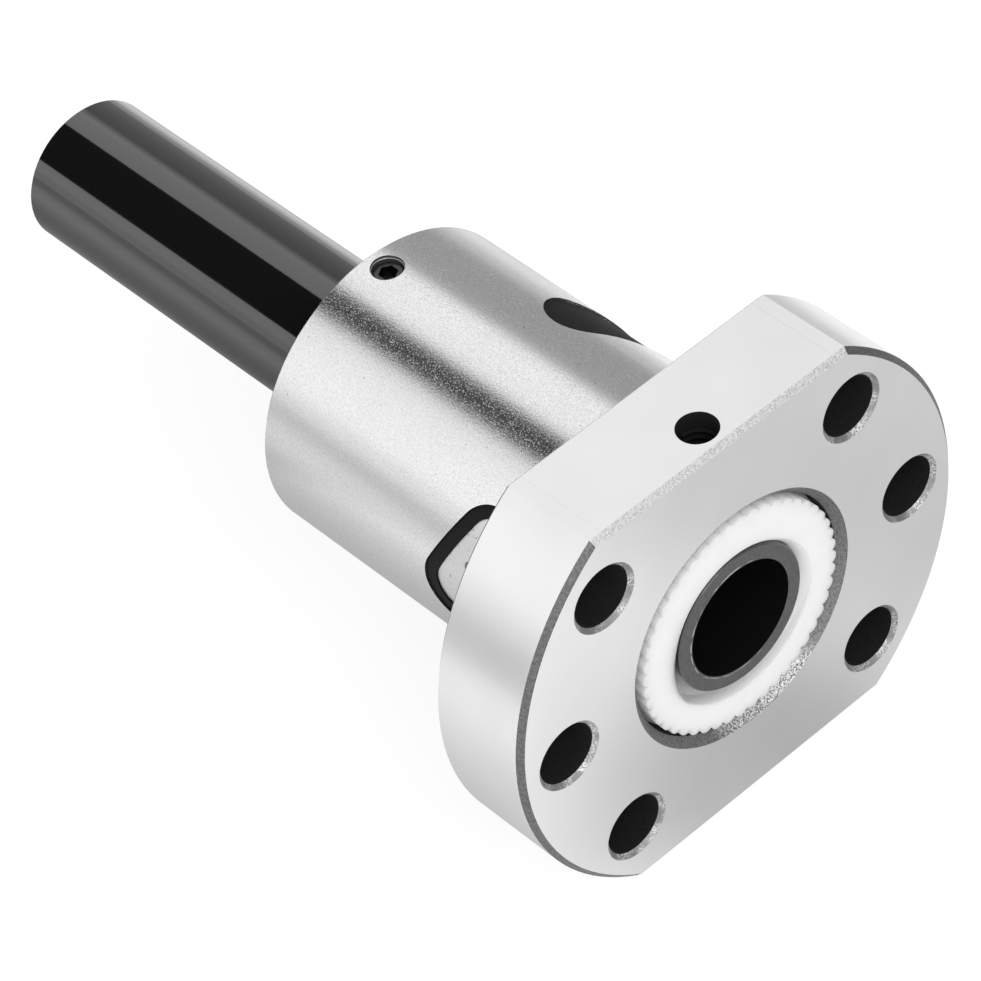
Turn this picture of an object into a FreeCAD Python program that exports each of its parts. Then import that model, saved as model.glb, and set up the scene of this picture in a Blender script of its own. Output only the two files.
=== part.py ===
# Flanged ball screw nut on its transport tube, in millimetres.
# The screw axis is +X, which points out of the flange's front face.
# The origin is the centre of the seating face, the rear of the flange, and +Z is square to the upper flat.
import FreeCAD, Part
import math
import os

import Sketcher

V = FreeCAD.Vector
doc = FreeCAD.newDocument("ball_nut")

# Driving dimensions: name, value, what it is
SIZES = [
    ("lead", 5, "axial travel for one turn of the screw"),
    ("ball_dia", 3.175, "one eighth inch bearing balls"),
    ("ball_circle_dia", 16.8, "circle that the ball centres run on"),
    ("groove_ratio", 0.52, "radius of the ball groove's section, as a share of the ball"),
    ("groove_runout", 2.5, "how far the ball groove's cut runs past each end of its bore"),
    ("land_offset", 0.1, "the bore between the groove's turns lies this far outside the ball circle"),
    ("flange_dia", 48, "round of the flange"),
    ("across_flats", 39.4, "flange height between its two flats"),
    ("flange_thickness", 9.6, "flange from the seating face to its front face"),
    ("flange_front_chamfer", 0.5, "broken front edge of the flange"),
    ("flange_rear_chamfer", 0.25, "broken rear edge of the flange"),
    ("body_dia", 28, "ground spigot that locates the nut"),
    ("body_length", 32.4, "spigot behind the seating face"),
    ("body_chamfer", 0.3, "broken rear edge of the spigot"),
    ("bolt_circle_dia", 38, "circle of the flange's bolt holes"),
    ("bolt_hole_dia", 5.5, "clearance for M5 screws"),
    ("bolt_hole_rim_dia", 6.3, "bolt hole's chamfered rim"),
    ("bolt_spacing_angle", 45, "degrees from the side hole to its neighbours"),
    ("front_recess_dia", 22.1, "counterbore for the front wiper"),
    ("rear_recess_dia", 22.1, "counterbore for the rear wiper"),
    ("recess_chamfer", 0.78, "wide chamfer at the mouth of each counterbore"),
    ("cut_past", 1, "how far a cutter runs past the metal"),
    ("middle_insert_place", -14.367, "middle of the return inserts, along the axis"),
    ("first_insert_angle", 162, "degrees from +Y round to +Z"),
    ("circuits", 3, "ball circuits, each with one return insert"),
    ("insert_tilt", 27, "degrees that the insert leans along the thread's crossing"),
    ("pocket_width", 6.6, "return insert's pocket, across"),
    ("pocket_length", 13, "return insert's pocket, end to end"),
    ("bond_width", 1.2, "ring of resin round the insert's crown"),
    ("bond_drop", 0.2, "resin below the spigot's surface"),
    ("crown_drop", 0.35, "insert's crown below the spigot's surface"),
    ("sealed_crown_drop", 0.7, "the same for the insert that the resin covers"),
    ("sealed_insert", 2, "which insert the resin covers, counted from the flange"),
    ("insert_gap", 0.03, "clearance round an insert and its resin"),
    ("dimple_dia", 1.1, "centre mark in the insert's crown"),
    ("dimple_depth", 0.4, "depth of the centre mark"),
    ("crossing_half_angle", 32, "degrees of turn from a crossing's middle to its end"),
    ("channel_gap", 0.11, "clearance of a ball in the return channel"),
    ("channel_roof", 0.75, "metal over the return channel"),
    ("channel_reach", 1.35, "length of the return channel against the crossing"),
    ("ball_lift", 1.35, "how far a ball rises to pass over the screw's thread"),
    ("wiper_gap", 0.08, "clearance of a wiper in its recess"),
    ("wiper_floor_gap", 0.1, "clearance behind a wiper"),
    ("wiper_thickness", 4.2, "wiper ring along the axis"),
    ("front_wiper_inset", 0.2, "wiper's nose below the flange's front face"),
    ("rear_wiper_inset", 0.2, "wiper's nose below the spigot's rear face"),
    ("front_wiper_turn", -25, "degrees that the front wiper stands turned from the screw's thread"),
    ("collar_gap", 0.35, "clearance of a wiper's ribbed collar in its recess"),
    ("collar_length", 2, "ribbed collar along the axis, from the nose"),
    ("relief_depth", 1.1, "wiper's inner thread, crest to root"),
    ("relief_crest_width", 3.9, "its groove at the bore"),
    ("relief_root_width", 1.9, "its groove at the root"),
    ("relief_lap", 0.2, "how far its cutter starts inside the bore"),
    ("ribs", 48, "rounded ribs round the wiper's collar"),
    ("rib_depth", 0.42, "notch between two ribs, from their crests inwards"),
    ("rib_notch_width", 1.34, "notch between two ribs, at their crests"),
    ("rib_round", 0.8, "radius of a rib's section"),
    ("wiper_nose_round", 0.45, "rounded edge of the wiper's bore"),
    ("front_screw_dia", 4, "M4 grub screw that locks the front wiper"),
    ("front_screw_length", 4, "its length"),
    ("front_screw_socket", 2, "its hexagon socket, across flats"),
    ("front_screw_inset", 2.8, "its axis behind the front face"),
    ("front_screw_hole_dia", 3.5, "its tapped hole, at the crest"),
    ("rear_screw_dia", 3, "M3 grub screw that locks the rear wiper"),
    ("rear_screw_length", 2.4, "its length"),
    ("rear_screw_socket", 1.5, "its hexagon socket, across flats"),
    ("rear_screw_inset", 2.4, "its axis before the rear face"),
    ("rear_screw_hole_dia", 2.9, "its tapped hole, at the crest"),
    ("screw_gap", 0.05, "clearance round and under a grub screw"),
    ("screw_cup", 0.25, "radius of a grub screw's cup, as a share of its diameter"),
    ("screw_point", 0.1, "cup's depth and the point's chamfer, as a share of the diameter"),
    ("screw_rim", 0.08, "chamfer round the socket's end, as a share of the diameter"),
    ("tube_ball_gap", 0.06, "clearance between the transport tube and the balls"),
    ("tube_wiper_gap", 0.1, "clearance between the tube and a wiper's bore"),
    ("tube_wall", 1.4, "transport tube's wall"),
    ("tube_length", 81.6, "transport tube end to end"),
    ("tube_inset", 0.25, "tube's front end below the flange's front face"),
    ("tube_chamfer", 0.12, "broken outer edges of the tube"),
]

sizes = doc.addObject("Spreadsheet::Sheet", "sizes")
for row, (alias, value, meaning) in enumerate(SIZES, 1):
    sizes.set(f"A{row}", alias)
    sizes.set(f"B{row}", str(value))
    sizes.set(f"C{row}", meaning)
    sizes.setAlias(f"B{row}", alias)
doc.recompute()

# Sizes that follow from the driving ones
GROOVE_ARC = "(sizes.groove_ratio * sizes.ball_dia)"
LAND_DIA = "(sizes.ball_circle_dia + 2 * sizes.land_offset)"
FRONT_RECESS_DEPTH = "(sizes.front_wiper_inset + sizes.wiper_thickness + sizes.wiper_floor_gap)"
REAR_RECESS_DEPTH = "(sizes.rear_wiper_inset + sizes.wiper_thickness + sizes.wiper_floor_gap)"
FRONT_RECESS_FLOOR = f"(sizes.flange_thickness - {FRONT_RECESS_DEPTH})"
REAR_RECESS_FLOOR = f"({REAR_RECESS_DEPTH} - sizes.body_length)"
CROWN_WIDTH = "(sizes.pocket_width - 2 * sizes.bond_width)"
CROWN_LENGTH = "(sizes.pocket_length - 2 * sizes.bond_width)"
CHANNEL_ARC = "(sizes.ball_dia / 2 + sizes.channel_gap)"
SHOULDER_DIA = f"(sizes.ball_circle_dia + 2 * (sizes.ball_lift + {CHANNEL_ARC} + sizes.channel_roof))"
TUBE_DIA = "(sizes.ball_circle_dia - sizes.ball_dia - 2 * sizes.tube_ball_gap)"
TUBE_BORE_DIA = f"({TUBE_DIA} - 2 * sizes.tube_wall)"
WIPER_BORE_DIA = f"({TUBE_DIA} + 2 * sizes.tube_wiper_gap)"
WIPER_ROOT_DIA = f"({WIPER_BORE_DIA} + 2 * sizes.relief_depth)"
FRONT_NOSE = "(sizes.flange_thickness - sizes.front_wiper_inset)"
REAR_NOSE = "(sizes.rear_wiper_inset - sizes.body_length)"
FRONT_SCREW_PLACE = "(sizes.flange_thickness - sizes.front_screw_inset)"
REAR_SCREW_PLACE = "(sizes.rear_screw_inset - sizes.body_length)"

# The inserts' pockets are spread evenly about their middle, a lead and a third apart.
INSERT_STEP = "(sizes.lead * (sizes.circuits + 1) / sizes.circuits)"
FIRST_INSERT_PLACE = f"(sizes.middle_insert_place + (sizes.circuits - 1) / 2 * {INSERT_STEP})"

# The ball groove is one right-hand helix. Every return insert sits midway between two of its turns, so its
# phase comes from the first insert: straight up, a turn lies at GROOVE_PHASE plus any number of leads.
PHASE_TURN = "((90 - sizes.first_insert_angle) / 360)"
GROOVE_PHASE = f"({FIRST_INSERT_PLACE} - sizes.lead / 2 + sizes.lead * {PHASE_TURN})"

# Lengths closer than this are the same
NEAR = 1e-5


def sized(expression):
    """An expression's value in the sheet's terms, as a plain number."""
    answer = sizes.evalExpression(expression)
    return float(getattr(answer, "Value", answer))


# Sketches and features

def plane_of(body, role):
    for datum in body.Origin.OriginFeatures:
        if datum.Role == role:
            return datum
    raise ValueError("no plane " + role)


def sketch_on(body, name, plane, offset=None):
    """A sketch on one of the body's own planes; offset is an expression that gives a placement."""
    sketch = body.newObject("Sketcher::SketchObject", name)
    sketch.AttachmentSupport = (plane_of(body, plane), [""])
    sketch.MapMode = "FlatFace"
    if offset:
        sketch.setExpression("AttachmentOffset", offset)
    return sketch


def bind(sketch, kind, *places, to):
    """A dimension of the sketch, held to an expression in the sheet's terms."""
    index = sketch.addConstraint(Sketcher.Constraint(kind, *places, sized(to)))
    sketch.setExpression(f"Constraints[{index}]", to)


def outline(sketch, corners):
    """A closed outline through corners, each an x and a y expression measured from the origin."""
    points = [V(sized(across), sized(up), 0) for across, up in corners]
    count = len(points)
    first = sketch.GeometryCount
    for here in range(count):
        line = Part.LineSegment(points[here], points[(here + 1) % count])
        sketch.addGeometry(line, False)
    for here in range(count):
        line = first + here
        following = first + (here + 1) % count
        sketch.addConstraint(Sketcher.Constraint("Coincident", line, 2, following, 1))
    for here, (across, up) in enumerate(corners):
        bind(sketch, "DistanceX", -1, 1, first + here, 1, to=across)
        bind(sketch, "DistanceY", -1, 1, first + here, 1, to=up)


def round_hole(sketch, across, up, diameter):
    circle = Part.Circle(V(sized(across), sized(up), 0), V(0, 0, 1), sized(diameter) / 2)
    index = sketch.addGeometry(circle, False)
    bind(sketch, "DistanceX", -1, 1, index, 3, to=across)
    bind(sketch, "DistanceY", -1, 1, index, 3, to=up)
    bind(sketch, "Diameter", index, to=diameter)


def slot_outline(sketch, length, width):
    """A round-ended slot along the sketch's upright axis, centred on its origin."""
    half = sized(f"({length} - {width}) / 2")
    radius = sized(f"{width} / 2")
    top_circle = Part.Circle(V(0, half, 0), V(0, 0, 1), radius)
    low_circle = Part.Circle(V(0, -half, 0), V(0, 0, 1), radius)
    top = sketch.addGeometry(Part.ArcOfCircle(top_circle, 0, math.pi), False)
    low = sketch.addGeometry(Part.ArcOfCircle(low_circle, math.pi, 2 * math.pi), False)
    left = sketch.addGeometry(Part.LineSegment(V(-radius, half, 0), V(-radius, -half, 0)), False)
    right = sketch.addGeometry(Part.LineSegment(V(radius, -half, 0), V(radius, half, 0)), False)
    for joined in ((top, 2, left, 1), (left, 2, low, 1), (low, 2, right, 1), (right, 2, top, 1)):
        sketch.addConstraint(Sketcher.Constraint("Tangent", *joined))
    bind(sketch, "DistanceX", -1, 1, top, 3, to="0")
    bind(sketch, "DistanceY", -1, 1, top, 3, to=f"({length} - {width}) / 2")
    bind(sketch, "DistanceX", -1, 1, low, 3, to="0")
    bind(sketch, "DistanceY", -1, 1, low, 3, to=f"-({length} - {width}) / 2")
    bind(sketch, "Radius", top, to=f"{width} / 2")


def feature(body, kind, name, profile, **settings):
    """A feature of the body; a setting given as text is an expression."""
    made = body.newObject("PartDesign::" + kind, name)
    made.Profile = profile
    for setting, value in settings.items():
        if isinstance(value, str):
            made.setExpression(setting, value)
        else:
            setattr(made, setting, value)
    profile.Visibility = False
    doc.recompute()
    return made


def edges_at(solid, place):
    """Names of the edges that lie in the plane at one x."""
    names = []
    for number, edge in enumerate(solid.Shape.Edges, 1):
        box = edge.BoundBox
        if box.XLength < NEAR and abs(box.Center.x - place) < NEAR:
            names.append(f"Edge{number}")
    return names


def break_edge(body, kind, name, solid, edges, size):
    made = body.newObject("PartDesign::" + kind, name)
    made.Base = (solid, edges)
    made.setExpression("Size" if kind == "Chamfer" else "Radius", size)
    doc.recompute()
    return made


# Nut body: flange, spigot, bore, ball groove, pockets and holes

nut = doc.addObject("PartDesign::Body", "NutBody")
nut.Label = "nut_body"

flange_outline = sketch_on(nut, "FlangeOutline", "YZ_Plane")
rim = sized("sizes.flange_dia / 2")
lean = math.asin(sized("sizes.across_flats") / sized("sizes.flange_dia"))
round_right = Part.ArcOfCircle(Part.Circle(V(0, 0, 0), V(0, 0, 1), rim), -lean, lean)
round_left = Part.ArcOfCircle(Part.Circle(V(0, 0, 0), V(0, 0, 1), rim), math.pi - lean, math.pi + lean)
corner_across = rim * math.cos(lean)
corner_up = rim * math.sin(lean)
right = flange_outline.addGeometry(round_right, False)
left = flange_outline.addGeometry(round_left, False)
upper = flange_outline.addGeometry(
    Part.LineSegment(V(corner_across, corner_up, 0), V(-corner_across, corner_up, 0)), False)
lower = flange_outline.addGeometry(
    Part.LineSegment(V(-corner_across, -corner_up, 0), V(corner_across, -corner_up, 0)), False)
for joined in ((right, 2, upper, 1), (upper, 2, left, 1), (left, 2, lower, 1), (lower, 2, right, 1)):
    flange_outline.addConstraint(Sketcher.Constraint("Coincident", *joined))
for arc in (right, left):
    flange_outline.addConstraint(Sketcher.Constraint("Coincident", arc, 3, -1, 1))
    bind(flange_outline, "Radius", arc, to="sizes.flange_dia / 2")
bind(flange_outline, "DistanceY", -1, 1, upper, 1, to="sizes.across_flats / 2")
bind(flange_outline, "DistanceY", -1, 1, lower, 1, to="-sizes.across_flats / 2")
flange_outline.addConstraint(Sketcher.Constraint("Horizontal", upper))
flange_outline.addConstraint(Sketcher.Constraint("Horizontal", lower))
flange = feature(nut, "Pad", "Flange", flange_outline, Length="sizes.flange_thickness")
flange_front = break_edge(nut, "Chamfer", "FlangeFrontEdge", flange,
                          edges_at(flange, sized("sizes.flange_thickness")), "sizes.flange_front_chamfer")
break_edge(nut, "Chamfer", "FlangeRearEdge", flange_front,
           edges_at(flange_front, 0), "sizes.flange_rear_chamfer")

# The spigot's round starts straight down, clear of the insert pockets.
spigot_outline = sketch_on(nut, "SpigotOutline", "YZ_Plane", "placement(vector(0; 0; 0); rotationz(-90))")
round_hole(spigot_outline, "0", "0", "sizes.body_dia")
spigot = feature(nut, "Pad", "Spigot", spigot_outline, Reversed=True, Length="sizes.body_length")
break_edge(nut, "Chamfer", "SpigotEdge", spigot,
           edges_at(spigot, -sized("sizes.body_length")), "sizes.body_chamfer")

# The stepped bore is one turned profile, wiper recesses and their wide chamfers and all. Each chamfer's
# slope runs on past the face it breaks.
CHAMFER_RUN = "(sizes.recess_chamfer + sizes.cut_past)"
bore_outline = sketch_on(nut, "BoreOutline", "XZ_Plane")
outline(bore_outline, [
    ("sizes.flange_thickness + sizes.cut_past", "0"),
    ("sizes.flange_thickness + sizes.cut_past", f"sizes.front_recess_dia / 2 + {CHAMFER_RUN}"),
    ("sizes.flange_thickness - sizes.recess_chamfer", "sizes.front_recess_dia / 2"),
    (FRONT_RECESS_FLOOR, "sizes.front_recess_dia / 2"),
    (FRONT_RECESS_FLOOR, LAND_DIA + " / 2"),
    (REAR_RECESS_FLOOR, LAND_DIA + " / 2"),
    (REAR_RECESS_FLOOR, "sizes.rear_recess_dia / 2"),
    ("sizes.recess_chamfer - sizes.body_length", "sizes.rear_recess_dia / 2"),
    ("-sizes.body_length - sizes.cut_past", f"sizes.rear_recess_dia / 2 + {CHAMFER_RUN}"),
    ("-sizes.body_length - sizes.cut_past", "0"),
])
feature(nut, "Groove", "Bore", bore_outline, ReferenceAxis=(bore_outline, ["H_Axis"]), Angle=360)


def insert_place(number):
    """Places along and round the axis. Neighbours lie a third of a turn apart."""
    along = f"({FIRST_INSERT_PLACE} - {number} * {INSERT_STEP})"
    angle = f"(sizes.first_insert_angle - {number} * 360 / sizes.circuits)"
    return along, angle


def insert_frame(number):
    """Stands a local Z out along the insert's radius, and leans the insert along the crossing."""
    along, angle = insert_place(number)
    turn = f"rotationx({angle} - 90) * rotationz(-sizes.insert_tilt)"
    return f"placement(vector({along}; 0; 0); {turn})"


for number in range(int(sized("sizes.circuits"))):
    pocket_outline = sketch_on(nut, f"PocketOutline{number + 1}", "XY_Plane", insert_frame(number))
    slot_outline(pocket_outline, "sizes.pocket_length", "sizes.pocket_width")
    feature(nut, "Pocket", f"InsertPocket{number + 1}", pocket_outline, Reversed=True,
            Length="sizes.body_dia / 2 + sizes.cut_past")

front_screw_hole = sketch_on(nut, "FrontScrewHole", "XY_Plane")
round_hole(front_screw_hole, FRONT_SCREW_PLACE, "0", "sizes.front_screw_hole_dia")
feature(nut, "Pocket", "FrontScrewTapping", front_screw_hole, Reversed=True,
        Length="sizes.across_flats / 2 + sizes.cut_past")
rear_screw_hole = sketch_on(nut, "RearScrewHole", "XY_Plane")
round_hole(rear_screw_hole, REAR_SCREW_PLACE, "0", "sizes.rear_screw_hole_dia")
feature(nut, "Pocket", "RearScrewTapping", rear_screw_hole, Reversed=True,
        Length="sizes.body_dia / 2 + sizes.cut_past")

# Six bolt holes, three each side, leave the flats free.
bolt_holes = sketch_on(nut, "BoltHoles", "YZ_Plane",
                       "placement(vector(0; 0; sizes.flange_thickness); rotationz(0))")
for side in (0, 180):
    for step in (-1, 0, 1):
        turn = f"({side} + {step} * sizes.bolt_spacing_angle) * 1 deg"
        round_hole(bolt_holes, f"sizes.bolt_circle_dia / 2 * cos({turn})",
                   f"sizes.bolt_circle_dia / 2 * sin({turn})", "sizes.bolt_hole_dia")
doc.recompute()
bolting = nut.newObject("PartDesign::Hole", "BoltHoleDrilling")
bolting.Profile = bolt_holes
doc.recompute()
bolting.DepthType = "ThroughAll"
bolting.setExpression("Diameter", "sizes.bolt_hole_dia")
bolting.HoleCutType = "Countersink"
bolting.setExpression("HoleCutDiameter", "sizes.bolt_hole_rim_dia")
bolting.HoleCutCountersinkAngle = 90
bolt_holes.Visibility = False
doc.recompute()

# The ball groove is ground right through, from one wiper recess to the other.
groove_reach = f"({FRONT_RECESS_FLOOR} + sizes.groove_runout - {GROOVE_PHASE})"
turns_to_front = math.ceil(sized(groove_reach) / sized("sizes.lead"))
groove_start = f"({GROOVE_PHASE} + {turns_to_front} * sizes.lead)"
groove_section = sketch_on(nut, "BallGrooveSection", "XZ_Plane")
round_hole(groove_section, groove_start, "sizes.ball_circle_dia / 2", "2 * " + GROOVE_ARC)
feature(nut, "SubtractiveHelix", "BallGroove", groove_section, ReferenceAxis=(groove_section, ["H_Axis"]),
        Mode=0, Pitch="sizes.lead", Reversed=True,
        Height=f"{groove_start} - {REAR_RECESS_FLOOR} + sizes.groove_runout")


# Wipers: moulded nylon rings whose inner thread follows the screw's, half a lead from the ball groove

def rib_notch(sketch, collar):
    """The notch between two neighbouring ribs, straight up from the axis: each side is a rib's round flank."""
    half = sized("sizes.rib_notch_width / 2")
    depth = sized("sizes.rib_depth")
    radius = sized("sizes.rib_round")
    crest = sized(collar)
    flank = math.hypot(half, depth)
    inwards = math.sqrt(radius ** 2 - flank ** 2 / 4) / flank
    arcs = []
    for side in (-1, 1):
        middle = V(side * half / 2, crest - depth / 2, 0)
        centre = middle + V(side * depth * inwards, -half * inwards, 0)
        ends = [V(0, crest - depth, 0), V(side * half, crest, 0)]
        turns = [math.atan2(end.y - centre.y, end.x - centre.x) for end in ends]
        arc = Part.ArcOfCircle(Part.Circle(centre, V(0, 0, 1), radius), min(turns), max(turns))
        arcs.append(sketch.addGeometry(arc, False))
    left, right = arcs
    top = crest + sized("sizes.cut_past")
    corners = [V(half, crest, 0), V(half, top, 0), V(-half, top, 0), V(-half, crest, 0)]
    lines = [sketch.addGeometry(Part.LineSegment(start, end), False) for start, end in zip(corners, corners[1:])]
    joints = ((left, 1, right, 2), (right, 1, lines[0], 1), (lines[0], 2, lines[1], 1),
              (lines[1], 2, lines[2], 1), (lines[2], 2, left, 2))
    for joined in joints:
        sketch.addConstraint(Sketcher.Constraint("Coincident", *joined))
    bind(sketch, "DistanceX", -1, 1, left, 1, to="0")
    bind(sketch, "DistanceY", -1, 1, left, 1, to=f"{collar} - sizes.rib_depth")
    for end, across, up in ((lines[0], "sizes.rib_notch_width / 2", collar),
                            (lines[1], "sizes.rib_notch_width / 2", f"{collar} + sizes.cut_past"),
                            (lines[2], "-sizes.rib_notch_width / 2", f"{collar} + sizes.cut_past")):
        bind(sketch, "DistanceX", -1, 1, end, 1, to=across)
        bind(sketch, "DistanceY", -1, 1, end, 1, to=up)
    bind(sketch, "DistanceX", -1, 1, left, 2, to="-sizes.rib_notch_width / 2")
    bind(sketch, "DistanceY", -1, 1, left, 2, to=collar)
    for arc in arcs:
        bind(sketch, "Radius", arc, to="sizes.rib_round")


def wiper_side_dia(recess):
    return f"({recess} - 2 * sizes.wiper_gap)"


def wiper(name, recess, placement, relief_phase):
    """One ring, modelled with its nose at x = 0 and its back towards -X.

    relief_phase says where, along the ring's own x and straight up, a turn of its thread groove lies.
    """
    body = doc.addObject("PartDesign::Body", name.title().replace("_", ""))
    body.Label = name
    side = f"{wiper_side_dia(recess)} / 2"
    collar = f"{recess} / 2 - sizes.collar_gap"
    section = sketch_on(body, name + "_section", "XZ_Plane")
    outline(section, [
        ("-sizes.wiper_thickness", WIPER_BORE_DIA + " / 2"),
        ("-sizes.wiper_thickness", side),
        ("-sizes.collar_length", side),
        ("-sizes.collar_length", collar),
        ("0", collar),
        ("0", WIPER_BORE_DIA + " / 2"),
    ])
    ring = feature(body, "Revolution", name + "_ring", section,
                   ReferenceAxis=(section, ["H_Axis"]), Angle=360)
    nose = [edge for edge in edges_at(ring, 0)
            if abs(ring.Shape.getElement(edge).Curve.Radius - sized(WIPER_BORE_DIA) / 2) < NEAR]
    break_edge(body, "Fillet", name + "_nose", ring, nose, "sizes.wiper_nose_round")
    notch_outline = sketch_on(body, name + "_notch", "YZ_Plane")
    rib_notch(notch_outline, collar)
    notch = feature(body, "Pocket", name + "_first_notch", notch_outline, Length="sizes.collar_length")
    pattern = body.newObject("PartDesign::PolarPattern", name + "_ribs")
    pattern.Originals = [notch]
    pattern.Axis = (plane_of(body, "X_Axis"), [""])
    pattern.Angle = 360
    pattern.setExpression("Occurrences", "sizes.ribs")
    body.Tip = pattern
    doc.recompute()
    turns_ahead = math.ceil(sized(f"(sizes.relief_crest_width / 2 - {relief_phase}) / sizes.lead"))
    start = f"({relief_phase} + {turns_ahead} * sizes.lead)"
    inside = WIPER_BORE_DIA + " / 2 - sizes.relief_lap"
    relief = sketch_on(body, name + "_thread_section", "XZ_Plane")
    outline(relief, [
        (f"{start} - sizes.relief_crest_width / 2", inside),
        (f"{start} - sizes.relief_crest_width / 2", WIPER_BORE_DIA + " / 2"),
        (f"{start} - sizes.relief_root_width / 2", WIPER_ROOT_DIA + " / 2"),
        (f"{start} + sizes.relief_root_width / 2", WIPER_ROOT_DIA + " / 2"),
        (f"{start} + sizes.relief_crest_width / 2", WIPER_BORE_DIA + " / 2"),
        (f"{start} + sizes.relief_crest_width / 2", inside),
    ])
    feature(body, "SubtractiveHelix", name + "_thread", relief, ReferenceAxis=(relief, ["H_Axis"]),
            Mode=0, Pitch="sizes.lead", Reversed=True,
            Height=f"{start} + sizes.wiper_thickness + sizes.relief_crest_width / 2")
    body.setExpression("Placement", placement)
    doc.recompute()


wiper("front_wiper", "sizes.front_recess_dia",
      f"placement(vector({FRONT_NOSE}; 0; 0); rotationx(sizes.front_wiper_turn))",
      f"({GROOVE_PHASE} + sizes.lead / 2 - {FRONT_NOSE})")
wiper("rear_wiper", "sizes.rear_recess_dia",
      f"placement(vector({REAR_NOSE}; 0; 0); rotationz(180))",
      f"({REAR_NOSE} - {GROOVE_PHASE} - sizes.lead / 2)")


# Grub screws that press on the wipers through the nut's wall

def grub_screw(name, size, length, socket, hole, place, seat):
    """Cup point down on a seat diameter, hexagon socket up. Its plain shank stands for its thread."""
    body = doc.addObject("PartDesign::Body", name.title().replace("_", ""))
    body.Label = name
    radius = f"({hole} / 2 - sizes.screw_gap)"
    point = f"sizes.screw_point * {size}"
    end_rim = f"sizes.screw_rim * {size}"
    section = sketch_on(body, name + "_section", "XZ_Plane")
    outline(section, [
        ("0", point),
        (f"sizes.screw_cup * {size}", "0"),
        (f"{radius} - {point}", "0"),
        (radius, point),
        (radius, f"{length} - {end_rim}"),
        (f"{radius} - {end_rim}", length),
        ("0", length),
    ])
    feature(body, "Revolution", name + "_blank", section, ReferenceAxis=(section, ["V_Axis"]), Angle=360)
    hexagon = sketch_on(body, name + "_hexagon", "XY_Plane",
                        f"placement(vector(0; 0; {length}); rotationz(0))")
    corner_reach = f"{socket} / sqrt(3)"
    outline(hexagon, [
        (f"{corner_reach} * cos({turn} deg)", f"{corner_reach} * sin({turn} deg)")
        for turn in range(0, 360, 60)
    ])
    feature(body, "Pocket", name + "_socket", hexagon, Length=f"{length} / 2")
    height = f"{seat} / 2 + sizes.screw_gap"
    body.setExpression("Placement", f"placement(vector({place}; 0; {height}); rotationz(0))")


grub_screw("front_wiper_screw", "sizes.front_screw_dia", "sizes.front_screw_length",
           "sizes.front_screw_socket", "sizes.front_screw_hole_dia", FRONT_SCREW_PLACE,
           wiper_side_dia("sizes.front_recess_dia"))
grub_screw("rear_wiper_screw", "sizes.rear_screw_dia", "sizes.rear_screw_length",
           "sizes.rear_screw_socket", "sizes.rear_screw_hole_dia", REAR_SCREW_PLACE,
           wiper_side_dia("sizes.rear_recess_dia"))


# Return inserts: each lifts the balls over the screw's thread and back one turn

# Spans of the channel's smooth path, each side of the crossing's middle
CHANNEL_SPANS = 4


def block_along_radius(length, width):
    """A round-ended block that stands out along local Z from the axis, its long side along local Y."""
    half = (length - width) / 2
    radius = width / 2
    ends = [
        Part.Arc(V(radius, half, 0), V(0, half + radius, 0), V(-radius, half, 0)),
        Part.LineSegment(V(-radius, half, 0), V(-radius, -half, 0)),
        Part.Arc(V(-radius, -half, 0), V(0, -half - radius, 0), V(radius, -half, 0)),
        Part.LineSegment(V(radius, -half, 0), V(radius, half, 0)),
    ]
    face = Part.Face(Part.Wire([edge.toShape() for edge in ends]))
    block = face.extrude(V(0, 0, sized("sizes.body_dia")))
    block.rotate(V(0, 0, 0), V(0, 0, 1), -sized("sizes.insert_tilt"))
    return block


def ring_between(inner_dia, outer_dia):
    """A thick tube along the axis, long enough to hold any insert."""
    length = 2 * sized("sizes.pocket_length")
    outer = Part.makeCylinder(outer_dia / 2, length, V(-length / 2, 0, 0), V(1, 0, 0))
    inner = Part.makeCylinder(inner_dia / 2, length, V(-length / 2, 0, 0), V(1, 0, 0))
    return outer.cut(inner)


def crossing_point(share):
    """A ball's centre on its way across, share -1 to +1. Outside that it follows the ball groove."""
    lead = sized("sizes.lead")
    turn = share * sized("sizes.crossing_half_angle")
    inside = max(-1.0, min(1.0, share))
    along = lead * turn / 360 - lead / 2 * math.sin(math.pi / 2 * inside)
    lift = sized("sizes.ball_lift") * math.cos(math.pi / 2 * inside) ** 2
    radius = sized("sizes.ball_circle_dia") / 2 + lift
    angle = math.radians(turn)
    return V(along, -radius * math.sin(angle), radius * math.cos(angle))


def return_channel():
    """The S-shaped ball channel: a round section swept along the crossing."""
    reach = sized("sizes.channel_reach")
    steps = range(-CHANNEL_SPANS, CHANNEL_SPANS + 1)
    points = [crossing_point(reach * step / CHANNEL_SPANS) for step in steps]
    path = Part.BSplineCurve()
    path.interpolate(points)
    start, along = path.value(path.FirstParameter), path.tangent(path.FirstParameter)[0]
    section = Part.Wire(Part.Circle(start, along, sized(CHANNEL_ARC)).toShape())
    return Part.Wire(path.toShape()).makePipeShell([section], True, False)


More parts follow.
